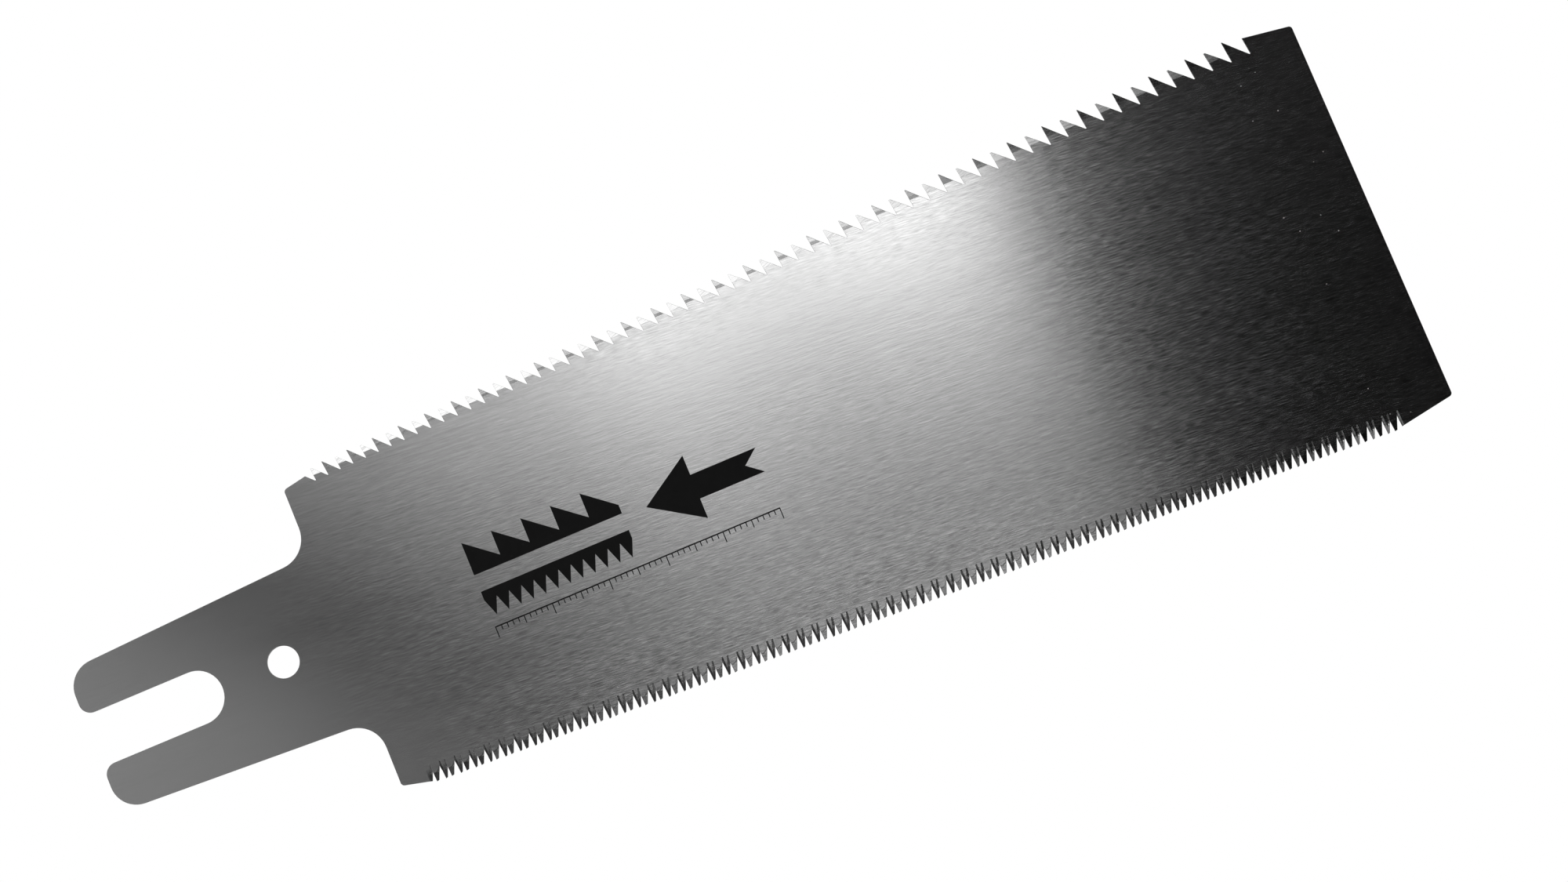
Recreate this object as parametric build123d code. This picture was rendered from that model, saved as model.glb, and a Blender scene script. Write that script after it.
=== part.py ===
"""Double-edged pull-saw blade: one stamped steel sheet with rip teeth along its
upper edge, crosscut teeth along its lower edge and a slotted tang that fits a
handle, with a plain black print on one face.

Frame, in millimetres: the origin is the centre of the tang's hole on the sheet's
middle plane. +X runs along the blade to its toe, +Z runs across it to the rip
edge, and the printed face looks along -Y.
"""

from build123d import *
import math
import os

# ---------------------------------------------------------------- sheet and tang
sheet_thickness = 0.5
hole_diameter = 5.3
heel_from_hole = 10.4          # hole centre to the heel edge
blade_length = 180.0           # heel edge to toe edge
heel_half_width = 26.0         # axis to either corner of the heel edge
toe_rip_height = 32.15         # axis to the toe corner on the rip side
toe_crosscut_height = 33.15    # axis to the toe corner on the crosscut side
heel_corner_radius = 0.65
toe_corner_radius = 0.6
shoulder_radius = 5.0
tang_length = 33.6             # hole centre to the ends of the prongs
tang_half_width = 13.97        # at the hole
tang_taper = 2.87              # degrees that each side leans in towards the end
slot_width = 8.9
slot_bottom_from_hole = 10.75  # hole centre to the slot's round bottom
prong_outer_radius = 4.5
prong_inner_radius = 2.0

# ---------------------------------------------------------------------- rip edge
rip_heel_land = 4.06           # untoothed length at the heel, along X
rip_heel_land_rise = 0.75
rip_toe_land = 8.15            # untoothed length at the toe, along X
rip_toe_land_rise = 1.25
rip_gullet_heel_height = 25.3  # gullet line above the axis at the heel edge
rip_gullet_toe_height = 30.8   # gullet line above the axis at the toe edge
rip_pitch_heel = 2.21
rip_pitch_middle = 2.79        # at the middle tooth
rip_pitch_toe = 3.3
rip_depth_heel = 2.3
rip_depth_toe = 3.62
rip_front_lean = 6.5           # degrees that the cutting flank leans to the handle
rip_gullet_flat = 0.16
rip_tip_flat = 0.14
rip_bevelled_tip_flat = 0.3
rip_bevelled_tip_drop = 0.08   # share of its depth that a bevelled tooth is lower
rip_bend_start_share = 0.42    # share of the depth below the set bend and the side bevel
rip_bend_end_share = 0.6       # share of the depth from which a tooth is fully bent
rip_edge_land = 0.2            # thickness left at a bevelled tip
rip_set = 0.2                  # sideways set of a rip tooth's tip

# ----------------------------------------------------------------- crosscut edge
crosscut_heel_land = 4.9
crosscut_heel_land_drop = 1.21
crosscut_toe_land = 9.33
crosscut_toe_land_drop = 1.57
crosscut_tip_heel_depth = 27.3   # tip line below the axis at the heel edge
crosscut_tip_toe_depth = 35.55   # tip line below the axis at the toe edge
crosscut_pitch = 1.28
crosscut_low_gap = 1.8           # depth of the gap on the toe side of a bevelled tooth
crosscut_high_gap = 2.3          # depth of the gap on its handle side
crosscut_gap_stagger = 0.13      # how far the deep gaps lie towards the toe
crosscut_front_angle = 4.0       # cutting flank, degrees from square
crosscut_back_angle = 21.5       # trailing flank, degrees from square
crosscut_tip_rise = 0.13         # slant of the third bevel across a tip
crosscut_bend_height = 1.4       # tips to the set bend
crosscut_bevel_inset = 0.35      # how far a flank's bevel runs in across the face
crosscut_groove_height = 3.08    # tips to the run-out of the bevelling wheel
crosscut_groove_run_out = 0.49   # the groove's size there, as a share of its size at the bend
crosscut_groove_clearance = 0.1  # how far the wheel stands out into the gap
crosscut_groove_overcut = 0.1    # how far it stands out from the face
crosscut_set = 0.15              # sideways set of a crosscut tooth's tip

# ------------------------------------------------------------------------- print
ink_thickness = 0.02
print_from_hole = 34.0           # hole centre to the print's handle end
print_length = 50.0
edge_mark_length = 26.0
edge_mark_bar = 1.5
rip_mark_base_height = 1.0       # axis to the lower side of the coarse mark
rip_mark_tooth_height = 4.2
rip_mark_teeth = 5
crosscut_mark_base_depth = 1.9   # axis to the upper side of the fine mark
crosscut_mark_tooth_height = 2.9
crosscut_mark_teeth = 12
arrow_length = 20.0
arrow_head_length = 8.6
arrow_head_width = 11.0
arrow_shaft_width = 4.2
arrow_tail_notch = 2.6
arrow_axis_height = 0.4
rule_depth = 8.0                 # axis to the rule's line
rule_line = 0.22
rule_tick_width = 0.16
rule_tick_spacing = 1.0
rule_tick_length = 0.9           # every fifth and tenth tick is longer
rule_fifth_length = 1.4
rule_tenth_length = 1.9

# ------------------------------------------------------------ what follows from them
heel_x = heel_from_hole
toe_x = heel_from_hole + blade_length
half_sheet = sheet_thickness / 2
front_tan = math.tan(math.radians(crosscut_front_angle))
back_tan = math.tan(math.radians(crosscut_back_angle))


def along_blade(x, at_heel, at_toe):
    """A value that changes evenly from the heel edge to the toe edge."""
    return at_heel + (at_toe - at_heel) * (x - heel_x) / blade_length


def rip_gullet_z(x):
    return along_blade(x, rip_gullet_heel_height, rip_gullet_toe_height)


def crosscut_tip_z(x):
    return -along_blade(x, crosscut_tip_heel_depth, crosscut_tip_toe_depth)


def polyhedron(points, faces):
    """A closed solid from corner points and the corner numbers of each flat face."""
    corners = [Vector(*p) for p in points]
    sides = [Face(Wire.make_polygon([corners[i] for i in side], close=True)) for side in faces]
    return Solid(Shell(sides))


# ----------------------------------------------------------------------- rip teeth
class RipTooth:
    """The outline of one rip tooth, from its own gullet to the next one."""

    def __init__(self, front_x, back_x, bevelled_side):
        depth = along_blade(front_x, rip_depth_heel, rip_depth_toe)
        lean = depth * math.tan(math.radians(rip_front_lean))
        flat = rip_tip_flat
        if bevelled_side < 0:
            depth *= 1 - rip_bevelled_tip_drop
            flat = rip_bevelled_tip_flat
        tip_z = rip_gullet_z(front_x) + depth
        self.bevelled_side = bevelled_side
        self.front = (front_x, rip_gullet_z(front_x))
        self.back = (back_x, rip_gullet_z(back_x))
        self.tip_front = (front_x - lean, tip_z)
        self.tip_back = (front_x - lean + flat, tip_z)
        self.bend_z = self.front[1] + depth * rip_bend_start_share
        self.full_bend_z = self.front[1] + depth * rip_bend_end_share

    def front_at(self, z):
        return on_line(self.front, self.tip_front, z)

    def back_at(self, z):
        return on_line(self.back, self.tip_back, z)

    def root_outline(self):
        """The part below the set bend, which stays in the sheet's plane."""
        return [
            self.front,
            (self.front_at(self.bend_z), self.bend_z),
            (self.back_at(self.bend_z), self.bend_z),
            self.back,
        ]

    def set_at(self, z):
        """How far the tooth is bent sideways: half as steeply where the bend starts."""
        tip_z = self.tip_front[1]
        slope = rip_set / (tip_z - (self.bend_z + self.full_bend_z) / 2)
        if z <= self.full_bend_z:
            return (z - self.bend_z) * slope / 2
        return rip_set - (tip_z - z) * slope

    def bent_tip(self):
        """The set part: bent in two steps on one side, ground flat on the other."""
        ground = self.bevelled_side * half_sheet
        plain = -ground
        edge = plain + math.copysign(rip_edge_land, ground)
        towards = math.copysign(1, plain)
        tip_z = self.tip_front[1]
        corners = [
            (plain, self.bend_z),
            (ground, self.bend_z),
            (plain, self.full_bend_z),
            (plain, tip_z),
            (edge, tip_z),
        ]
        bent = [(y + towards * self.set_at(z), z) for y, z in corners]
        points = [(self.front_at(z), y, z) for y, z in bent]
        points += [(self.back_at(z), y, z) for y, z in bent]
        faces = [
            (0, 1, 6, 5),
            (0, 2, 7, 5),
            (2, 3, 8, 7),
            (1, 4, 9, 6),
            (3, 4, 9, 8),
            (0, 1, 4, 3, 2),
            (5, 6, 9, 8, 7),
        ]
        return polyhedron(points, faces)


def on_line(start, end, z):
    """The x at height z on the line between two (x, z) points."""
    return start[0] + (end[0] - start[0]) * (z - start[1]) / (end[1] - start[1])


def rip_pitch(share):
    """The pitch at a share of the teeth's count, on a parabola through the three sizes."""
    return (
        rip_pitch_heel * (1 - share) * (1 - 2 * share)
        + rip_pitch_middle * 4 * share * (1 - share)
        + rip_pitch_toe * share * (2 * share - 1)
    )


def rip_stations():
    """The gullets' places, from the heel to the toe."""
    heel_gullet = heel_x + rip_heel_land + (rip_heel_land_rise + heel_half_width
                                            - rip_gullet_heel_height)
    toe_gullet = toe_x - rip_toe_land + rip_gullet_step()
    run = toe_gullet - heel_gullet
    mean_pitch = (rip_pitch_heel + 4 * rip_pitch_middle + rip_pitch_toe) / 6
    count = round(run / mean_pitch)
    steps = [rip_pitch(i / (count - 1)) for i in range(count)]
    scale = run / sum(steps)
    stations = [heel_gullet]
    for step in steps:
        stations.append(stations[-1] + step * scale)
    return stations


def rip_gullet_step():
    """How far the last gullet lies towards the toe from the land's corner."""
    land_height = toe_rip_height + rip_toe_land_rise - rip_gullet_z(toe_x - rip_toe_land)
    return land_height * math.tan(math.radians(rip_front_lean))


def rip_teeth():
    stations = rip_stations()
    teeth = []
    for i in range(len(stations) - 1):
        side = -1 if i % 2 == 0 else 1
        teeth.append(RipTooth(stations[i], stations[i + 1] - rip_gullet_flat, side))
    return teeth


# ------------------------------------------------------------------ crosscut teeth
def front_flank_x(gap, z):
    """The cutting flank on the toe side of a gap."""
    return gap[0] + (gap[1] - z) * front_tan


def back_flank_x(gap, z):
    """The trailing flank on the handle side of a gap."""
    return gap[0] - (gap[1] - z) * back_tan


def bend_line_z(x):
    return crosscut_tip_z(x) + crosscut_bend_height


def meet(flank, gap, line_z):
    """The (x, z) point where a gap's flank meets a line that lies along the teeth."""
    x = gap[0]
    for _ in range(8):
        x = flank(gap, line_z(x))
    return (x, line_z(x))


class CrosscutTooth:
    """One crosscut tooth between two gaps, bevelled on one side of the sheet."""

    def __init__(self, front_gap, back_gap, bevelled_side):
        self.ground = bevelled_side * half_sheet
        self.front = meet(front_flank_x, front_gap, bend_line_z)
        self.back = meet(back_flank_x, back_gap, bend_line_z)
        self.tip_front = meet(front_flank_x, front_gap, crosscut_tip_z)
        self.tip_back = meet(back_flank_x, back_gap, raised_tip_z)

    def bent_tip(self):
        """The set part: two bevels that meet in a ridge, which a third one cuts off."""
        in_front = self.front[0] + crosscut_bevel_inset
        in_back = self.back[0] - crosscut_bevel_inset
        inner_front = (in_front, bend_line_z(in_front))
        inner_back = (in_back, bend_line_z(in_back))
        ridge = flanks_meet(inner_front, inner_back)
        virtual_tip = flanks_meet(self.front, self.back)
        share = crossing(ridge, virtual_tip, self.tip_front, self.tip_back)
        end_x, end_z = (r + (v - r) * share for r, v in zip(ridge, virtual_tip))
        plain = -self.ground
        outline = [
            (*self.front, plain),
            (*self.back, plain),
            (*inner_back, self.ground),
            (*inner_front, self.ground),
            (*ridge, self.ground),
            (*self.tip_front, plain),
            (*self.tip_back, plain),
            (end_x, end_z, self.ground + (plain - self.ground) * share),
        ]
        set_per_mm = math.copysign(crosscut_set, plain) / crosscut_bend_height
        points = [(x, y + set_per_mm * (bend_line_z(x) - z), z) for x, z, y in outline]
        faces = [
            (0, 1, 2, 3),
            (0, 1, 6, 5),
            (3, 2, 4),
            (0, 3, 4, 7, 5),
            (1, 2, 4, 7, 6),
            (5, 6, 7),
        ]
        return polyhedron(points, faces)


def raised_tip_z(x):
    return crosscut_tip_z(x) + crosscut_tip_rise


def flanks_meet(front, back):
    """Where a cutting flank through one point meets a trailing flank through another."""
    drop = front[0] - back[0] + front[1] * front_tan + back[1] * back_tan
    z = drop / (front_tan + back_tan)
    return (front[0] + (front[1] - z) * front_tan, z)


def crossing(a, b, c, d):
    """How far along the line a-b it crosses the line c-d, as a share of a-b."""
    along = (b[0] - a[0], b[1] - a[1])
    across = (d[0] - c[0], d[1] - c[1])
    offset = (c[0] - a[0], c[1] - a[1])
    return (offset[0] * across[1] - offset[1] * across[0]) / (
        along[0] * across[1] - along[1] * across[0]
    )


def crosscut_gaps():
    """The tops of the gaps. Every second one lies deeper and nearer the toe."""
    land_z = -heel_half_width - crosscut_heel_land_drop
    first_z = crosscut_tip_z(heel_x + crosscut_heel_land) + crosscut_low_gap
    first_x = heel_x + crosscut_heel_land + (first_z - land_z) * back_tan
    last_land_z = -toe_crosscut_height - crosscut_toe_land_drop
    last_z = crosscut_tip_z(toe_x - crosscut_toe_land) + crosscut_high_gap
    last_x = toe_x - crosscut_toe_land - (last_z - last_land_z) * front_tan
    run = last_x - crosscut_gap_stagger - first_x
    pairs = round((run / crosscut_pitch - 1) / 2)
    count = 2 * pairs + 1
    gaps = []
    for i in range(count + 1):
        deep = i % 2
        x = first_x + run * i / count + deep * crosscut_gap_stagger
        height = crosscut_high_gap if deep else crosscut_low_gap
        gaps.append((x, crosscut_tip_z(x) + height))
    return gaps


def crosscut_teeth(gaps):
    teeth = []
    for i in range(len(gaps) - 1):
        side = 1 if i % 2 == 0 else -1
        teeth.append(CrosscutTooth(gaps[i], gaps[i + 1], side))
    return teeth


def bevel_groove(gap, tooth_is_ahead, side):
    """The wheel's cut along one flank, which runs out in the face above the gap.

    It is a three-sided wedge that keeps its angles and shrinks upwards. Its floor
    reaches the far face at the set bend, and its lower end lies beyond the tips.
    """
    flank = front_flank_x if tooth_is_ahead else back_flank_x
    inward = 1 if tooth_is_ahead else -1
    face = side * half_sheet
    x, z = meet(flank, gap, bend_line_z)
    in_x = x + inward * crosscut_bevel_inset
    out_x = x - inward * crosscut_groove_clearance
    floor = Vector(x, -face, z)
    to_inner = Vector(in_x, face, bend_line_z(in_x)) - floor
    to_outer = Vector(out_x, face, bend_line_z(out_x)) - floor
    run_out_x = gap[0] + (crosscut_gap_stagger * 2 if tooth_is_ahead else 0)
    run_out_z = crosscut_tip_z(gap[0]) + crosscut_groove_height
    to_middle = (to_inner + to_outer) * (crosscut_groove_run_out / 2)
    floor_top = Vector(run_out_x, face, run_out_z) - to_middle
    below = crosscut_bend_height / (run_out_z - z)
    floor_bottom = floor + (floor - floor_top) * below
    size_bottom = 1 + (1 - crosscut_groove_run_out) * below
    proud = crosscut_groove_overcut / sheet_thickness
    points = []
    for start, size in (
        (floor_bottom, size_bottom + proud),
        (floor_top, crosscut_groove_run_out + proud),
    ):
        for point in (start + to_inner * size, start, start + to_outer * size):
            points.append((point.X, point.Y, point.Z))
    faces = [(0, 1, 2), (3, 4, 5), (0, 1, 4, 3), (1, 2, 5, 4), (2, 0, 3, 5)]
    return polyhedron(points, faces)


# ---------------------------------------------------------------------------- blade
def tang_half_width_at(x):
    return tang_half_width + x * math.tan(math.radians(tang_taper))


def rip_edge():
    """The outline along the rip teeth, from the heel land's corner to the toe land's."""
    stations = rip_stations()
    first_gullet = stations[0] - rip_gullet_flat
    points = [
        (heel_x + rip_heel_land, heel_half_width + rip_heel_land_rise),
        (first_gullet, rip_gullet_z(first_gullet)),
    ]
    for tooth in rip_teeth():
        points.extend(tooth.root_outline())
    points.append((stations[-1], rip_gullet_z(stations[-1])))
    points.append((toe_x - rip_toe_land, toe_rip_height + rip_toe_land_rise))
    return points


def crosscut_edge():
    """The outline along the crosscut teeth, up to the set bends, from toe to heel."""
    gaps = crosscut_gaps()
    points = [(toe_x - crosscut_toe_land, -toe_crosscut_height - crosscut_toe_land_drop)]
    for gap, tooth in zip(gaps[:0:-1], reversed(crosscut_teeth(gaps))):
        points.extend((gap, tooth.back, tooth.front))
    points.append(gaps[0])
    points.append((heel_x + crosscut_heel_land, -heel_half_width - crosscut_heel_land_drop))
    return points


def sheet():
    """The stamped sheet with its hole and slot, before grinding and setting."""
    rip = rip_edge()
    crosscut = crosscut_edge()
    toe = [rip[-1], (toe_x, toe_rip_height), (toe_x, -toe_crosscut_height), crosscut[0]]
    shoulder = tang_half_width_at(heel_x)
    prong_end = tang_half_width_at(-tang_length)
    slot_half = slot_width / 2
    upper_tang = [
        (-slot_bottom_from_hole - slot_half, slot_half),
        (-tang_length, slot_half),
        (-tang_length, prong_end),
        (heel_x, shoulder),
        (heel_x, heel_half_width),
        rip[0],
    ]
    lower_tang = [(x, -z) for x, z in upper_tang[:-1]] + [crosscut[-1]]
    tang_radii = [
        prong_inner_radius, prong_outer_radius, shoulder_radius, heel_corner_radius
    ]
    with BuildPart() as blank:
        with BuildSketch(Plane.XZ):
            with BuildLine():
                Polyline(*rip)
                FilletPolyline(*toe, radius=[toe_corner_radius, toe_corner_radius])
                Polyline(*crosscut)
                FilletPolyline(*lower_tang, radius=tang_radii)
                ThreePointArc(lower_tang[0], (-slot_bottom_from_hole, 0), upper_tang[0])
                FilletPolyline(*upper_tang, radius=tang_radii)
            make_face()
            Circle(hole_diameter / 2, mode=Mode.SUBTRACT)
        extrude(amount=half_sheet, both=True)
    return blank.part.solid()


def blade():
    gaps = crosscut_gaps()
    grooves = []
    for i, gap in enumerate(gaps):
        ahead_side = 1 if i % 2 == 0 else -1
        grooves.append(bevel_groove(gap, True, ahead_side))
        grooves.append(bevel_groove(gap, False, -ahead_side))
    ground = sheet().cut(*grooves).solid()
    tips = [tooth.bent_tip() for tooth in rip_teeth() + crosscut_teeth(gaps)]
    return ground.fuse(*tips).solid()


# ---------------------------------------------------------------------------- print
def printed(*outlines):
    """A film of ink on the printed face, from closed (x, z) outlines that may overlap."""
    with BuildPart() as film:
        with BuildSketch(Plane.XZ.offset(half_sheet)):
            for outline in outlines:
                with BuildLine():
                    Polyline(*outline, close=True)
                make_face()
        extrude(amount=ink_thickness)
    return film.part.solid()


def rip_symbol():
    """Coarse raked teeth on a bar, beside the rip edge."""
    base = rip_mark_base_height
    gullet = base + edge_mark_bar
    pitch = edge_mark_length / rip_mark_teeth
    end = print_from_hole + edge_mark_length
    outline = [(end, base), (print_from_hole, base)]
    for i in range(rip_mark_teeth):
        front = print_from_hole + i * pitch
        if i:
            outline.append((front, gullet))
        outline.append((front, gullet + rip_mark_tooth_height))
    outline.append((end, gullet))
    return printed(outline)


def crosscut_symbol():
    """Fine even teeth under a bar, beside the crosscut edge."""
    base = -crosscut_mark_base_depth
    gullet = base - edge_mark_bar
    pitch = edge_mark_length / crosscut_mark_teeth
    end = print_from_hole + edge_mark_length
    outline = [(end, base), (print_from_hole, base), (print_from_hole, gullet)]
    for i in range(crosscut_mark_teeth):
        front = print_from_hole + i * pitch
        outline.append((front + pitch / 2, gullet - crosscut_mark_tooth_height))
        outline.append((front + pitch, gullet))
    return printed(outline)


def pull_arrow():
    """A bold arrow that points to the handle, the way the saw cuts."""
    tail = print_from_hole + print_length
    tip = tail - arrow_length
    neck = tip + arrow_head_length
    z = arrow_axis_height
    shaft = arrow_shaft_width / 2
    head = arrow_head_width / 2
    return printed([
        (tip, z),
        (neck, z + head),
        (neck, z + shaft),
        (tail, z + shaft),
        (tail - arrow_tail_notch, z),
        (tail, z - shaft),
        (neck, z - shaft),
        (neck, z - head),
    ])


def scale_rule():
    """A plain rule: a line with ticks, longer at every fifth and tenth one."""
    end = print_from_hole + print_length
    line_top = -rule_depth
    line_bottom = line_top - rule_line
    ticks = round(print_length / rule_tick_spacing)
    spacing = (print_length - rule_tick_width) / ticks
    outline = [(end, line_top), (print_from_hole, line_top)]
    for i in range(ticks + 1):
        length = rule_tick_length
        if i % 10 == 0:
            length = rule_tenth_length
        elif i % 5 == 0:
            length = rule_fifth_length
        left = print_from_hole + i * spacing
        right = left + rule_tick_width
        if i:
            outline.append((left, line_bottom))
        outline.append((left, line_top - length))
        outline.append((right, line_top - length))
        if i < ticks:
            outline.append((right, line_bottom))
    return printed(outline)


if __name__ == "__main__":
    os.makedirs("parts", exist_ok=True)
    export_step(blade(), "parts/blade.step")
    export_step(rip_symbol(), "parts/printed_rip_symbol.step")
    export_step(crosscut_symbol(), "parts/printed_crosscut_symbol.step")
    export_step(pull_arrow(), "parts/printed_pull_arrow.step")
    export_step(scale_rule(), "parts/printed_scale.step")
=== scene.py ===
"""Double-edged pull-saw blade: brushed steel, black print, stage and camera."""

import math

import bmesh
import bpy
from bpy.props import FloatProperty, FloatVectorProperty, PointerProperty
from mathutils import Matrix, Vector

bl_info = {
    "name": "Pull saw blade",
    "version": (1, 0, 0),
    "blender": (4, 5, 0),
    "location": "3D View > Sidebar > Pull Saw",
    "description": "Finishes the steel and the print of a double-edged pull-saw blade",
    "category": "Object",
}

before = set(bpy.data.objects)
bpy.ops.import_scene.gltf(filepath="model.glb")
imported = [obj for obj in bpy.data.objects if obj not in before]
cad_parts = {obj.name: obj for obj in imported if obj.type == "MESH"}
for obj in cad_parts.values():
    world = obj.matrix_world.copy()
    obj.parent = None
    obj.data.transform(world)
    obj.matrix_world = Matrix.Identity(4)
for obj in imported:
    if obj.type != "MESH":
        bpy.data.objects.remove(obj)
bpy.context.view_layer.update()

PRINT_NODES = (
    "printed_rip_symbol",
    "printed_crosscut_symbol",
    "printed_pull_arrow",
    "printed_scale",
)
MM = 0.001

# The finish of the steel changes along this length from the tang's hole
FINISH_LENGTH = 180.0 * MM

# The line along the crosscut teeth where they bend: z = CROSSCUT_BEND - CROSSCUT_SLOPE * x
CROSSCUT_SLOPE = 8.25 / 180.0
CROSSCUT_BEND = (10.4 * CROSSCUT_SLOPE - 27.3 + 1.4) * MM
# Every second crosscut tooth is plain on the print's side
CROSSCUT_FIRST_PLAIN = 16.233 * MM
CROSSCUT_PAIR = 2 * 1.27847 * MM
# The toothed length, past which the edge is left as it was cut
CROSSCUT_START = 14.8 * MM
CROSSCUT_END = 181.4 * MM
CROSSCUT_FADE = 0.3 * MM
# A painted shade line, where the grooves of the bevels end, rises in arcs above the plain teeth
GROOVE_ARC_RISE = 0.35 * MM

# The stage: x runs to the right, y away from the camera, z up from the tang's hole
FLOOR_HALF_WIDTH = 6.0
PANEL_LEFT = -1.5
PANEL_RIGHT = 2.0
PANEL_FRONT = -0.7
PANEL_FOOT = -0.155
SOFT_PANEL_TOP = 1.8
LOW_PANEL_DEPTH = 1.5
LEFT_FLAG_DEPTH = 1.8
RIGHT_FLAG_DEPTH = 1.3
FLAG_HEIGHT = 1.2
FLAG_STRENGTH = 0.1
PANEL_GAIN = 4.0
LOW_PANEL_GAIN = 2.02
LEAST_GLOW = 0.003

CAMERA_AIM = (0.0887, 0.0, 0.0017)
CAMERA_FORWARD = (-0.0245, 0.9917, 0.126)
SENSOR_WIDTH = 36.0


# ------------------------------------------------------------------ settings
class SteelSettings(bpy.types.PropertyGroup):
    """The brushed steel of the blade"""

    colour: FloatVectorProperty(
        name="Steel colour",
        description="Colour of the clean steel",
        subtype="COLOR",
        size=3,
        min=0.0,
        max=1.0,
        default=(0.60, 0.60, 0.60),
    )
    roughness: FloatProperty(
        name="Roughness",
        description="Mean roughness of the brushed face",
        subtype="FACTOR",
        min=0.0,
        max=1.0,
        default=0.13,
    )
    anisotropy: FloatProperty(
        name="Anisotropy",
        description="How much the brushing spreads a reflection across the blade",
        subtype="FACTOR",
        min=0.0,
        max=1.0,
        default=0.35,
    )
    brush_angle: FloatProperty(
        name="Brush angle",
        description="Turn of the brush lines away from the blade's length",
        subtype="ANGLE",
        default=math.radians(-4.0),
    )
    grinding_angle: FloatProperty(
        name="Grinding angle",
        description="Turn of the grinding marks on the bevels away from the blade's length",
        subtype="ANGLE",
        default=math.radians(20.0),
    )
    edge_radius: FloatProperty(
        name="Edge radius",
        description="Rounding that the light sees along the cut edges",
        subtype="DISTANCE",
        unit="LENGTH",
        min=0.0,
        default=0.00008,
        precision=6,
    )
    brush_relief: FloatProperty(
        name="Brush relief",
        description="Height of the brush lines",
        subtype="DISTANCE",
        unit="LENGTH",
        min=0.0,
        default=0.0000045,
        precision=6,
    )


class PrintSettings(bpy.types.PropertyGroup):
    """The black print"""

    colour: FloatVectorProperty(
        name="Ink colour",
        description="Colour of the print",
        subtype="COLOR",
        size=3,
        min=0.0,
        max=1.0,
        default=(0.0025, 0.0025, 0.0025),
    )
    roughness: FloatProperty(
        name="Ink roughness",
        description="Mean roughness of the ink film",
        subtype="FACTOR",
        min=0.0,
        max=1.0,
        default=0.6,
    )


class StageSettings(bpy.types.PropertyGroup):
    """Floor, light and camera"""

    camera_distance: FloatProperty(
        name="Camera distance",
        description="Camera to the point it looks at",
        subtype="DISTANCE",
        unit="LENGTH",
        min=0.1,
        default=0.7,
    )
    lens: FloatProperty(
        name="Lens",
        description="Focal length on a 36 mm wide sensor",
        subtype="DISTANCE_CAMERA",
        min=1.0,
        default=99.38,
    )
    roll: FloatProperty(
        name="Roll",
        description="How far the blade's length rises to the right in the picture",
        subtype="ANGLE",
        default=math.radians(22.76),
    )
    floor_drop: FloatProperty(
        name="Floor drop",
        description="Tang hole down to the floor",
        subtype="DISTANCE",
        unit="LENGTH",
        min=0.05,
        default=0.16,
    )
    panel_strength: FloatProperty(
        name="Panel strength",
        description="Brightness of the soft panels that the blade reflects",
        min=0.0,
        default=1.0,
    )


# ---------------------------------------------------------------- node helpers
def new_material(name):
    material = bpy.data.materials.new(name)
    material.use_nodes = True
    material.node_tree.nodes.clear()
    return material


def add_node(tree, kind, inputs=None, **settings):
    """A node with its settings, whose inputs are numbers or other nodes' outputs."""
    node = tree.nodes.new(kind)
    for key, value in settings.items():
        setattr(node, key, value)
    for key, value in (inputs or {}).items():
        socket = node.inputs[key]
        if isinstance(value, bpy.types.NodeSocket):
            tree.links.new(value, socket)
        else:
            socket.default_value = value
    return node


def maths(tree, operation, *values, clamp=False):
    node = add_node(tree, "ShaderNodeMath", operation=operation, use_clamp=clamp)
    for socket, value in zip(node.inputs, values):
        if isinstance(value, bpy.types.NodeSocket):
            tree.links.new(value, socket)
        else:
            socket.default_value = value
    return node.outputs[0]


def product(tree, *values):
    """The values multiplied together."""
    result = values[0]
    for value in values[1:]:
        result = maths(tree, "MULTIPLY", result, value)
    return result


def span(tree, value, start, end, low=0.0, high=1.0):
    """Where a value lies between two places, as a number from low to high."""
    return add_node(
        tree,
        "ShaderNodeMapRange",
        {"Value": value, "From Min": start, "From Max": end, "To Min": low, "To Max": high},
    ).outputs["Result"]


def ramp(tree, factor, *stops):
    """Grey values at places along a factor, joined by straight runs."""
    node = add_node(tree, "ShaderNodeValToRGB", {"Fac": factor})
    elements = node.color_ramp.elements
    while len(elements) > 1:
        elements.remove(elements[-1])
    elements[0].position, grey = stops[0]
    elements[0].color = (grey, grey, grey, 1.0)
    for place, grey in stops[1:]:
        elements.new(place).color = (grey, grey, grey, 1.0)
    return node.outputs["Color"]


def group_of(name, inputs, outputs):
    """An empty shader node group with float or vector sockets."""
    tree = bpy.data.node_groups.new(name, "ShaderNodeTree")
    for socket_name, kind, default in inputs:
        socket = tree.interface.new_socket(
            socket_name, in_out="INPUT", socket_type="NodeSocket" + kind
        )
        if default is not None:
            socket.default_value = default
    for socket_name, kind in outputs:
        tree.interface.new_socket(
            socket_name, in_out="OUTPUT", socket_type="NodeSocket" + kind
        )
    return tree, tree.nodes.new("NodeGroupInput"), tree.nodes.new("NodeGroupOutput")


def use_group(tree, group, **inputs):
    node = tree.nodes.new("ShaderNodeGroup")
    node.node_tree = group
    for key, value in inputs.items():
        socket = node.inputs[key.replace("_", " ")]
        if isinstance(value, bpy.types.NodeSocket):
            tree.links.new(value, socket)
        else:
            socket.default_value = value
    return node.outputs


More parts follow.
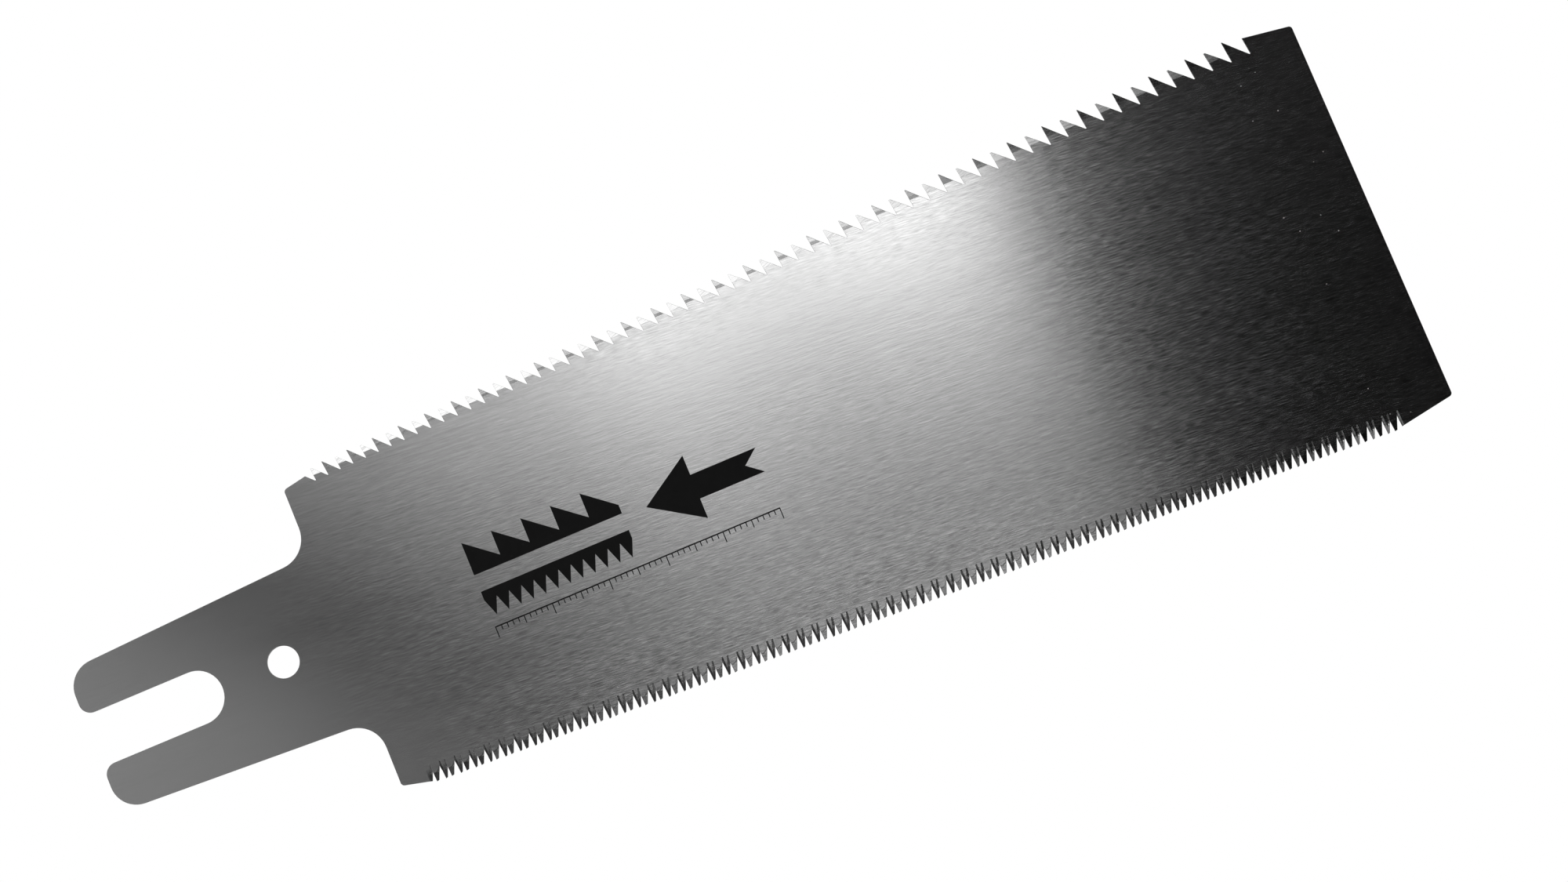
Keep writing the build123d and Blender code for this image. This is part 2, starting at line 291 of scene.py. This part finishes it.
# --------------------------------------------------------------- shared effects
def strokes_group():
    """Long thin strokes along X, from noise that is stretched on its way in.

    Length and Width are a stroke's size in millimetres, and Value is about 0.5.
    """
    name = "brush_strokes"
    if name in bpy.data.node_groups:
        return bpy.data.node_groups[name]
    tree, given, out = group_of(
        name,
        [
            ("Vector", "Vector", None),
            ("Length", "Float", 8.0),
            ("Width", "Float", 0.2),
            ("Seed", "Float", 0.0),
        ],
        [("Value", "Float")],
    )
    parts = add_node(tree, "ShaderNodeSeparateXYZ", {"Vector": given.outputs["Vector"]})
    along = maths(tree, "DIVIDE", parts.outputs["X"], given.outputs["Length"])
    across = maths(tree, "DIVIDE", parts.outputs["Z"], given.outputs["Width"])
    along = maths(tree, "DIVIDE", along, MM)
    across = maths(tree, "DIVIDE", across, MM)
    joined = add_node(
        tree,
        "ShaderNodeCombineXYZ",
        {"X": along, "Y": given.outputs["Seed"], "Z": across},
    )
    noise = add_node(
        tree,
        "ShaderNodeTexNoise",
        {"Vector": joined.outputs["Vector"], "Scale": 1.0, "Detail": 2.0, "Roughness": 0.6},
    )
    tree.links.new(noise.outputs["Fac"], out.inputs["Value"])
    return tree


def specks_group():
    """Scattered round specks. Size is their spacing in millimetres."""
    name = "specks"
    if name in bpy.data.node_groups:
        return bpy.data.node_groups[name]
    tree, given, out = group_of(
        name,
        [
            ("Vector", "Vector", None),
            ("Spacing", "Float", 3.0),
            ("Radius", "Float", 0.1),
            ("Share", "Float", 0.5),
        ],
        [("Mask", "Float")],
    )
    scale = maths(tree, "DIVIDE", 1.0 / MM, given.outputs["Spacing"])
    cells = add_node(
        tree,
        "ShaderNodeTexVoronoi",
        {"Vector": given.outputs["Vector"], "Scale": scale, "Randomness": 1.0},
    )
    chance = add_node(
        tree, "ShaderNodeSeparateColor", {"Color": cells.outputs["Color"]}
    )
    chosen = maths(tree, "LESS_THAN", chance.outputs["Red"], given.outputs["Share"])
    size = maths(tree, "MULTIPLY", given.outputs["Radius"], chance.outputs["Green"])
    near = maths(tree, "SUBTRACT", size, cells.outputs["Distance"])
    soft = maths(tree, "MULTIPLY", near, 12.0, clamp=True)
    mask = maths(tree, "MULTIPLY", soft, chosen)
    tree.links.new(mask, out.inputs["Mask"])
    return tree


# -------------------------------------------------------------------- materials
def turned(tree, place, angle):
    """Places turned in the plane of the blade."""
    return add_node(
        tree, "ShaderNodeMapping", {"Vector": place, "Rotation": (0.0, angle, 0.0)}
    ).outputs["Vector"]


def crosscut_painted_shade(tree, parts, facing_parts, edges, ground):
    """Masks of painted shade over the crosscut teeth, each with the share of the tone that it
    takes.
    """
    tooth_line = maths(tree, "MULTIPLY_ADD", parts["X"], CROSSCUT_SLOPE, parts["Z"])
    above_bend = maths(tree, "SUBTRACT", tooth_line, CROSSCUT_BEND)
    toothed_length = product(
        tree,
        span(tree, parts["X"], CROSSCUT_START, CROSSCUT_START + CROSSCUT_FADE),
        span(tree, parts["X"], CROSSCUT_END, CROSSCUT_END - CROSSCUT_FADE),
    )
    tips = product(
        tree, span(tree, above_bend, -0.05 * MM, 0.05 * MM, 1.0, 0.0), toothed_length
    )
    toothed = product(
        tree, span(tree, above_bend, 1.7 * MM, 1.9 * MM, 1.0, 0.0), toothed_length
    )
    before_toe = span(tree, parts["X"], 0.176, 0.158)

    # Off the middle of the nearest plain tooth, in half teeth
    pair = maths(tree, "SUBTRACT", parts["X"], CROSSCUT_FIRST_PLAIN)
    pair = maths(tree, "DIVIDE", pair, CROSSCUT_PAIR)
    number = maths(tree, "ROUND", pair)
    off_middle = maths(tree, "MULTIPLY", maths(tree, "SUBTRACT", pair, number), 4.0)
    distance = maths(tree, "ABSOLUTE", off_middle)
    chance = add_node(
        tree, "ShaderNodeTexWhiteNoise", {"W": number}, noise_dimensions="1D"
    ).outputs["Value"]

    # Painted shade: the ground bevels are darker in the colour, more at the tips, and not at the
    # toe
    bevels = product(
        tree, ground, toothed, maths(tree, "MULTIPLY_ADD", tips, 0.6, 0.4), before_toe
    )
    # Painted shade: the bevelled teeth and their grooves are darker in the colour
    bevelled_teeth_painted_shade = product(
        tree,
        span(tree, distance, 1.0, 1.15),
        span(tree, above_bend, 1.0 * MM, -0.1 * MM),
        toothed,
        before_toe,
    )
    # Painted shade on the tips of the plain teeth whose faces point upwards, by an amount that
    # differs from tooth to tooth
    plain_tips_painted_shade = product(
        tree,
        span(tree, facing_parts["Z"], 0.03, 0.08),
        tips,
        maths(tree, "MULTIPLY_ADD", chance, 0.35, 0.45),
    )
    # Painted shade: a thin dark line in arcs across the flat faces of the plain teeth
    arc = maths(tree, "MULTIPLY", maths(tree, "POWER", off_middle, 2.0), GROOVE_ARC_RISE)
    off_arc = maths(tree, "ABSOLUTE", maths(tree, "SUBTRACT", above_bend, arc))
    arcs = product(
        tree,
        span(tree, off_arc, 0.05 * MM, 0.13 * MM, 1.0, 0.0),
        span(tree, maths(tree, "ABSOLUTE", facing_parts["Y"]), 0.98, 0.99),
        toothed,
        span(tree, distance, 1.1, 1.0),
    )
    return [
        (bevels, 0.25),
        # Painted shade along the cut edges at the tooth tips
        (product(tree, edges, tips), 0.5),
        (bevelled_teeth_painted_shade, 0.65),
        (plain_tips_painted_shade, 1.0),
        (arcs, 0.6),
    ]


def rip_bend_painted_highlight(tree, parts, facing_parts):
    """The faces of the rip teeth that are bent towards the print's side, with a painted highlight:
    their colour is made lighter.
    """
    return product(
        tree,
        span(tree, facing_parts["Z"], -0.04, -0.055),
        span(tree, facing_parts["Z"], -0.11, -0.1),
        span(tree, parts["Z"], 0.024, 0.025),
        span(tree, parts["X"], 0.128, 0.112),
    )


def worn_smooth(tree, parts, along):
    """How much of the brushing is left: less in the middle and low at the heel."""
    middle = ramp(tree, along, (0.28, 0.0), (0.4, 1.0), (0.7, 1.0), (0.8, 0.0))
    left = product(tree, span(tree, parts["Z"], 0.008, 0.022), middle)
    left = maths(tree, "MULTIPLY_ADD", left, -0.6, 1.0)
    heel = product(
        tree,
        span(tree, parts["X"], 0.05, 0.02),
        span(tree, parts["Z"], -0.008, -0.018, 0.0, 0.6),
    )
    return maths(tree, "SUBTRACT", left, heel)


def steel_material(settings):
    material = new_material("brushed_blade_steel")
    tree = material.node_tree
    place = add_node(tree, "ShaderNodeTexCoord").outputs["Object"]
    parts = add_node(tree, "ShaderNodeSeparateXYZ", {"Vector": place}).outputs
    brushed = turned(tree, place, settings.brush_angle)
    strokes = strokes_group()
    specks = specks_group()
    fine = use_group(tree, strokes, Vector=brushed, Length=2.2, Width=0.15, Seed=1.0)[0]
    broad = use_group(tree, strokes, Vector=brushed, Length=7.0, Width=0.4, Seed=4.0)[0]
    bands = use_group(tree, strokes, Vector=brushed, Length=60.0, Width=6.0, Seed=9.0)[0]
    grinding = turned(tree, place, settings.grinding_angle)
    marks = use_group(tree, strokes, Vector=grinding, Length=5.0, Width=0.25, Seed=6.0)[0]
    pits = use_group(tree, specks, Vector=place, Spacing=3.1, Radius=0.05, Share=0.3)[0]
    nicks = use_group(tree, specks, Vector=place, Spacing=2.0, Radius=0.08, Share=0.6)[0]
    nicks = product(tree, nicks, span(tree, parts["X"], 0.166, FINISH_LENGTH))

    along = span(tree, parts["X"], 0.0, FINISH_LENGTH)
    smooth = worn_smooth(tree, parts, along)
    deep = ramp(tree, along, (0.0, 0.08), (0.06, 0.25), (0.14, 0.6), (0.28, 1.0))
    stained = ramp(
        tree, along, (0.0, 0.1), (0.07, 0.4), (0.14, 0.65), (0.3, 0.45), (0.68, 0.45), (0.8, 0.9)
    )
    stained = product(tree, stained, smooth)
    height = maths(tree, "MULTIPLY_ADD", broad, 0.6, fine)
    height = product(tree, height, deep, smooth)
    height = maths(tree, "SUBTRACT", height, pits)

    rounded = add_node(
        tree, "ShaderNodeBevel", {"Radius": settings.edge_radius}, samples=6
    ).outputs["Normal"]
    facing = add_node(tree, "ShaderNodeNewGeometry").outputs["True Normal"]
    turned_by = add_node(
        tree, "ShaderNodeVectorMath", {0: rounded, 1: facing}, operation="DOT_PRODUCT"
    ).outputs["Value"]
    # Painted shade: the colour is darker along the cut edges, as dark outlines, besides the shading
    # that the rounded normal gives
    edges = span(tree, turned_by, 0.985, 0.8)
    facing_parts = add_node(tree, "ShaderNodeSeparateXYZ", {"Vector": facing}).outputs
    ground = span(tree, maths(tree, "ABSOLUTE", facing_parts["Y"]), 0.972, 0.96)
    ground_marks = product(tree, ground, span(tree, marks, 0.5, 0.62))

    grain = maths(tree, "MULTIPLY_ADD", broad, 0.8, maths(tree, "SUBTRACT", fine, 0.9))
    tone = maths(tree, "MULTIPLY_ADD", grain, stained, 0.97)
    # The tone masks: painted shade on the crosscut teeth and cut edges, a painted highlight on the
    # rip teeth, and the real pits and grinding marks
    shades = crosscut_painted_shade(tree, parts, facing_parts, edges, ground)
    shades += [
        (pits, 0.35),
        # Painted shade along the cut edges
        (edges, 0.6),
        (ground_marks, 0.2),
        # Painted highlight: the bent faces of the rip teeth are lighter in the colour
        (rip_bend_painted_highlight(tree, parts, facing_parts), -0.5),
    ]
    for mask, share in shades:
        tone = product(tree, tone, maths(tree, "MULTIPLY_ADD", mask, -share, 1.0))
    colour = add_node(
        tree,
        "ShaderNodeMix",
        {6: (0.0, 0.0, 0.0, 1.0), 7: (*settings.colour, 1.0), 0: tone},
        data_type="RGBA",
        clamp_factor=False,
    )

    rough = maths(tree, "MULTIPLY_ADD", bands, 0.05, settings.roughness - 0.025)
    rough_strokes = product(tree, maths(tree, "MULTIPLY_ADD", fine, 0.24, -0.12), deep)
    rough = maths(tree, "ADD", rough, rough_strokes)
    for mask, share in ((ground, 0.06), (nicks, 0.4), (pits, 0.15)):
        rough = maths(tree, "MULTIPLY_ADD", mask, share, rough, clamp=True)
    bump = add_node(
        tree,
        "ShaderNodeBump",
        {
            "Height": height,
            "Distance": settings.brush_relief,
            "Strength": 1.0,
            "Normal": rounded,
        },
    )
    shader = add_node(
        tree,
        "ShaderNodeBsdfPrincipled",
        {
            "Base Color": colour.outputs[2],
            "Metallic": 1.0,
            "Roughness": rough,
            "Anisotropic": settings.anisotropy,
            "Anisotropic Rotation": 0.25,
            "Normal": bump.outputs["Normal"],
        },
    )
    add_node(tree, "ShaderNodeOutputMaterial", {"Surface": shader.outputs["BSDF"]})
    return material


def ink_material(settings):
    material = new_material("black_print")
    tree = material.node_tree
    place = add_node(tree, "ShaderNodeTexCoord").outputs["Object"]
    mottle = add_node(
        tree,
        "ShaderNodeTexNoise",
        {"Vector": place, "Scale": 900.0, "Detail": 3.0, "Roughness": 0.6},
    ).outputs["Fac"]
    pinholes = use_group(
        tree, specks_group(), Vector=place, Spacing=0.8, Radius=0.2, Share=0.12
    )[0]
    tone = maths(tree, "MULTIPLY_ADD", mottle, 1.2, 0.4)
    tone = maths(tree, "MULTIPLY_ADD", pinholes, 3.0, tone)
    colour = add_node(
        tree,
        "ShaderNodeMix",
        {6: (0.0, 0.0, 0.0, 1.0), 7: (*settings.colour, 1.0), 0: tone},
        data_type="RGBA",
        clamp_factor=False,
    )
    rough = maths(tree, "MULTIPLY_ADD", mottle, 0.2, settings.roughness - 0.1)
    bump = add_node(
        tree, "ShaderNodeBump", {"Height": mottle, "Distance": 2e-6, "Strength": 1.0}
    )
    shader = add_node(
        tree,
        "ShaderNodeBsdfPrincipled",
        {
            "Base Color": colour.outputs[2],
            "Roughness": rough,
            "Specular IOR Level": 0.12,
            "Normal": bump.outputs["Normal"],
        },
    )
    add_node(tree, "ShaderNodeOutputMaterial", {"Surface": shader.outputs["BSDF"]})
    return material


def give_material(node, material):
    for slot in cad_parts[node].material_slots:
        slot.material = material


# ----------------------------------------------------------------------- stage
def rectangle(name, corner, first_side, second_side, material):
    """A flat stage panel from one corner and its two sides."""
    mesh = bpy.data.meshes.new(name)
    form = bmesh.new()
    start = Vector(corner)
    ring = [
        start,
        start + Vector(first_side),
        start + Vector(first_side) + Vector(second_side),
        start + Vector(second_side),
    ]
    form.faces.new([form.verts.new(point) for point in ring])
    form.to_mesh(mesh)
    form.free()
    mesh.materials.append(material)
    panel = bpy.data.objects.new(name, mesh)
    bpy.context.scene.collection.objects.link(panel)
    return panel


def white_world():
    world = bpy.data.worlds.new("studio")
    world.use_nodes = True
    tree = world.node_tree
    tree.nodes.clear()
    sky = add_node(
        tree, "ShaderNodeBackground", {"Color": (1.0, 1.0, 1.0, 1.0), "Strength": 1.0}
    )
    add_node(tree, "ShaderNodeOutputWorld", {"Surface": sky.outputs["Background"]})
    bpy.context.scene.world = world


def floor_material():
    """A white floor that keeps soft shadows and is plain white further off."""
    material = new_material("white_floor")
    tree = material.node_tree
    place = add_node(tree, "ShaderNodeTexCoord").outputs["Object"]
    off = add_node(tree, "ShaderNodeVectorMath", {0: place}, operation="LENGTH")
    fade = add_node(
        tree,
        "ShaderNodeMapRange",
        {"Value": off.outputs["Value"], "From Min": 0.25, "From Max": 0.9},
        interpolation_type="SMOOTHSTEP",
    ).outputs["Result"]
    rays = add_node(tree, "ShaderNodeLightPath")
    seen = maths(tree, "MAXIMUM", rays.outputs["Is Camera Ray"], rays.outputs["Is Glossy Ray"])
    matt = add_node(tree, "ShaderNodeBsdfDiffuse", {"Color": (0.98, 0.98, 0.98, 1.0)})
    plain = add_node(tree, "ShaderNodeEmission", {"Strength": 1.0})
    mixed = add_node(
        tree,
        "ShaderNodeMixShader",
        {0: product(tree, fade, seen), 1: matt.outputs["BSDF"], 2: plain.outputs["Emission"]},
    )
    add_node(tree, "ShaderNodeOutputMaterial", {"Surface": mixed.outputs["Shader"]})
    return material


def glow_level(tree, x, edge):
    """Brightness along the blade, which fades towards the tang, and what is left of it
    past the edge where the panel's dark end starts.
    """
    level = ramp(
        tree,
        span(tree, x, -0.6, 0.2),
        (0.0, 0.35),
        (0.525, 0.182),
        (0.605, 0.158),
        (0.63, 0.13),
        (0.65, 0.132),
        (0.6675, 0.153),
        (0.6875, 0.19),
        (0.7075, 0.248),
        (0.7275, 0.289),
        (0.7475, 0.335),
        (0.765, 0.402),
        (0.79, 0.56),
        (0.8125, 0.64),
        (0.84, 0.58),
        (0.87, 0.57),
        (0.9125, 0.71),
        (1.0, 0.71),
    )
    lit = ramp(
        tree,
        span(tree, maths(tree, "SUBTRACT", x, edge), -0.01, 0.09),
        (0.0, 1.0),
        (0.2, 0.075),
        (0.4, 0.05),
        (0.6, 0.02),
        (1.0, 0.008),
    )
    return level, lit


def glowing(name, level):
    """A material that gives out the light that a function makes from x, y and z."""
    material = new_material(name)
    tree = material.node_tree
    place = add_node(tree, "ShaderNodeTexCoord").outputs["Object"]
    parts = add_node(tree, "ShaderNodeSeparateXYZ", {"Vector": place})
    strength = level(tree, *(parts.outputs[axis] for axis in "XYZ"))
    strength = maths(tree, "ADD", strength, LEAST_GLOW)
    glow = add_node(tree, "ShaderNodeEmission", {"Strength": strength})
    add_node(tree, "ShaderNodeOutputMaterial", {"Surface": glow.outputs["Emission"]})
    return material


def panel_material(strength):
    """The soft panel in front of the blade.

    From below it has a bright foot, a strip that brightens upwards, a dark gap and a
    bright top. One narrow dark seam crosses the strip.
    """

    def level(tree, x, y, z):
        strip = ramp(
            tree,
            span(tree, z, -0.155, 0.345),
            (0.0, 0.08),
            (0.11, 0.1),
            (0.19, 0.52),
            (0.26, 0.74),
            (0.3, 0.3),
            (0.34, 0.035),
            (0.41, 0.124),
            (0.48, 0.25),
            (0.55, 0.391),
            (0.625, 1.0),
            (0.69, 0.007),
            (0.74, 0.004),
            (0.91, 0.083),
            (1.0, 0.09),
        )
        top = ramp(
            tree,
            span(tree, z, 0.3, 1.8),
            (0.0, 0.0),
            (0.08, 0.2),
            (0.14, 0.58),
            (1.0, 0.58),
        )
        edge = maths(
            tree,
            "ADD",
            span(tree, z, -0.03, 0.0, 0.135, 0.1725),
            span(tree, z, 0.06, 0.1, 0.0, -0.005),
        )
        along, lit = glow_level(tree, x, edge)
        beyond = ramp(
            tree,
            span(tree, x, 0.15, 0.27),
            (0.0, 1.0),
            (0.3, 0.5),
            (0.6, 0.11),
            (0.9, 0.04),
            (1.0, 0.03),
        )
        lit = add_node(
            tree,
            "ShaderNodeMix",
            {0: span(tree, z, 0.25, 0.4), 2: lit, 3: beyond},
        ).outputs[0]
        even = maths(
            tree, "ADD", span(tree, z, 0.2, 0.55), span(tree, z, -0.035, -0.005, 1.0, 0.0)
        )
        to_even = maths(tree, "SUBTRACT", 0.666, along)
        along = maths(tree, "MULTIPLY_ADD", even, to_even, along)
        slant = maths(tree, "ADD", x, z)
        off_seam = maths(tree, "DIVIDE", maths(tree, "SUBTRACT", slant, 0.008), 0.026)
        off_seam = maths(tree, "POWER", off_seam, 2.0)
        seam = product(
            tree,
            maths(tree, "EXPONENT", maths(tree, "MULTIPLY", off_seam, -1.0)),
            span(tree, z, 0.06, 0.1, 0.5, 1.0),
            maths(tree, "SUBTRACT", 1.0, even),
        )
        corner = product(
            tree,
            ramp(tree, span(tree, z, -0.01, 0.105), (0.0, 0.0), (0.3, 1.0), (0.5, 1.0), (1.0, 0.0)),
            span(tree, slant, 0.02, -0.065, 0.0, 2.8),
        )
        along = maths(tree, "MULTIPLY_ADD", along, corner, along)
        foot = maths(
            tree,
            "MAXIMUM",
            span(tree, z, -0.035, -0.005),
            span(tree, x, -0.09, -0.015, 0.35, 1.0),
        )
        return product(
            tree,
            along,
            foot,
            maths(tree, "ADD", strip, top),
            maths(tree, "SUBTRACT", 1.0, seam),
            lit,
            PANEL_GAIN * strength,
        )

    return glowing("soft_panel", level)


def table_material(strength):
    """The lower panel: its dark end starts under the toe, and its rear corner is lit."""

    def level(tree, x, y, z):
        edge = maths(tree, "MULTIPLY_ADD", y, -0.047, 0.14)
        along, lit = glow_level(tree, x, edge)
        front = product(tree, along, lit, LOW_PANEL_GAIN)
        aside = maths(tree, "MULTIPLY_ADD", x, -0.3, y)
        rear = span(tree, aside, 0.0, 0.06, 0.2, 0.36)
        patch = ramp(
            tree,
            span(tree, aside, 0.0, 0.3),
            (0.0, 0.0),
            (0.1, 0.05),
            (0.2, 1.0),
            (0.5, 1.0),
            (0.75, 0.0),
        )
        patch = product(tree, patch, span(tree, x, 0.6, 0.8, 0.0, 1.7))
        rear = maths(tree, "ADD", rear, patch)
        behind = span(tree, y, -0.005, 0.005)
        to_rear = maths(tree, "SUBTRACT", rear, front)
        light = maths(tree, "MULTIPLY_ADD", behind, to_rear, front)
        return product(tree, light, strength)

    return glowing("low_panel", level)


def flag_material(strength):
    """The dim panels at both ends."""

    def level(tree, x, y, z):
        return product(tree, FLAG_STRENGTH, strength)

    return glowing("side_flag", level)


def add_camera(settings):
    """The camera below the blade's axis, turned so that the blade rises to the right."""
    aim = Vector(CAMERA_AIM)
    forward = Vector(CAMERA_FORWARD).normalized()
    level_x = Vector((1.0, 0.0, 0.0))
    level_x = (level_x - forward * level_x.dot(forward)).normalized()
    level_up = level_x.cross(forward)
    cos = math.cos(settings.roll)
    sin = math.sin(settings.roll)
    right = level_x * cos - level_up * sin
    up = level_x * sin + level_up * cos
    turn = Matrix((right, up, -forward)).transposed().to_4x4()
    data = bpy.data.cameras.new("camera")
    data.sensor_width = SENSOR_WIDTH
    data.lens = settings.lens
    data.clip_start = 0.01
    data.clip_end = 50.0
    data.dof.use_dof = False
    camera = bpy.data.objects.new("camera", data)
    stand = aim - forward * settings.camera_distance
    camera.matrix_world = Matrix.Translation(stand) @ turn
    bpy.context.scene.collection.objects.link(camera)
    bpy.context.scene.camera = camera


# ------------------------------------------------------------------- operators
class PULLSAW_OT_finish_blade(bpy.types.Operator):
    """Give the blade its brushed and ground steel"""

    bl_idname = "pullsaw.finish_blade"
    bl_label = "Finish Blade"

    def execute(self, context):
        give_material("blade", steel_material(context.scene.pullsaw_steel))
        return {"FINISHED"}


class PULLSAW_OT_finish_print(bpy.types.Operator):
    """Give the printed marks their black ink"""

    bl_idname = "pullsaw.finish_print"
    bl_label = "Finish Print"

    def execute(self, context):
        material = ink_material(context.scene.pullsaw_print)
        for node in PRINT_NODES:
            give_material(node, material)
        return {"FINISHED"}


class PULLSAW_OT_build_stage(bpy.types.Operator):
    """Make the floor, the soft light and the camera"""

    bl_idname = "pullsaw.build_stage"
    bl_label = "Build Stage"

    def execute(self, context):
        scene = context.scene
        settings = scene.pullsaw_stage
        scene.view_settings.view_transform = "Standard"
        white_world()
        rectangle(
            "floor",
            (-FLOOR_HALF_WIDTH, -FLOOR_HALF_WIDTH, -settings.floor_drop),
            (2.0 * FLOOR_HALF_WIDTH, 0.0, 0.0),
            (0.0, 2.0 * FLOOR_HALF_WIDTH, 0.0),
            floor_material(),
        )
        strength = settings.panel_strength
        dim = flag_material(strength)
        left_foot = (PANEL_LEFT, PANEL_FRONT, PANEL_FOOT)
        right_foot = (PANEL_RIGHT, PANEL_FRONT, PANEL_FOOT)
        width = (PANEL_RIGHT - PANEL_LEFT, 0.0, 0.0)
        soft_height = (0.0, 0.0, SOFT_PANEL_TOP - PANEL_FOOT)
        low_depth = (0.0, LOW_PANEL_DEPTH, 0.0)
        left_depth = (0.0, LEFT_FLAG_DEPTH, 0.0)
        right_depth = (0.0, RIGHT_FLAG_DEPTH, 0.0)
        flag_height = (0.0, 0.0, FLAG_HEIGHT)
        panels = (
            rectangle("soft_panel", left_foot, width, soft_height, panel_material(strength)),
            rectangle("low_panel", left_foot, width, low_depth, table_material(strength)),
            rectangle("left_flag", left_foot, left_depth, flag_height, dim),
            rectangle("right_flag", right_foot, right_depth, flag_height, dim),
        )
        for panel in panels:
            panel.visible_camera = False
            panel.visible_diffuse = False
            panel.visible_shadow = False
        add_camera(settings)
        return {"FINISHED"}


class PULLSAW_PT_sidebar(bpy.types.Panel):
    """The blade's pieces and settings"""

    bl_label = "Pull Saw"
    bl_space_type = "VIEW_3D"
    bl_region_type = "UI"
    bl_category = "Pull Saw"

    def draw(self, context):
        layout = self.layout
        scene = context.scene
        for title, settings, operator in (
            ("Blade", scene.pullsaw_steel, PULLSAW_OT_finish_blade),
            ("Print", scene.pullsaw_print, PULLSAW_OT_finish_print),
            ("Stage", scene.pullsaw_stage, PULLSAW_OT_build_stage),
        ):
            box = layout.box()
            box.label(text=title)
            for name in settings.bl_rna.properties.keys():
                if name not in {"rna_type", "name"}:
                    box.prop(settings, name)
            box.operator(operator.bl_idname)


CLASSES = (
    SteelSettings,
    PrintSettings,
    StageSettings,
    PULLSAW_OT_finish_blade,
    PULLSAW_OT_finish_print,
    PULLSAW_OT_build_stage,
    PULLSAW_PT_sidebar,
)


def register():
    for cls in CLASSES:
        bpy.utils.register_class(cls)
    bpy.types.Scene.pullsaw_steel = PointerProperty(type=SteelSettings)
    bpy.types.Scene.pullsaw_print = PointerProperty(type=PrintSettings)
    bpy.types.Scene.pullsaw_stage = PointerProperty(type=StageSettings)


def unregister():
    del bpy.types.Scene.pullsaw_stage
    del bpy.types.Scene.pullsaw_print
    del bpy.types.Scene.pullsaw_steel
    for cls in reversed(CLASSES):
        bpy.utils.unregister_class(cls)


def main():
    register()
    bpy.ops.pullsaw.finish_blade()
    bpy.ops.pullsaw.finish_print()
    bpy.ops.pullsaw.build_stage()


if __name__ == "__main__":
    main()
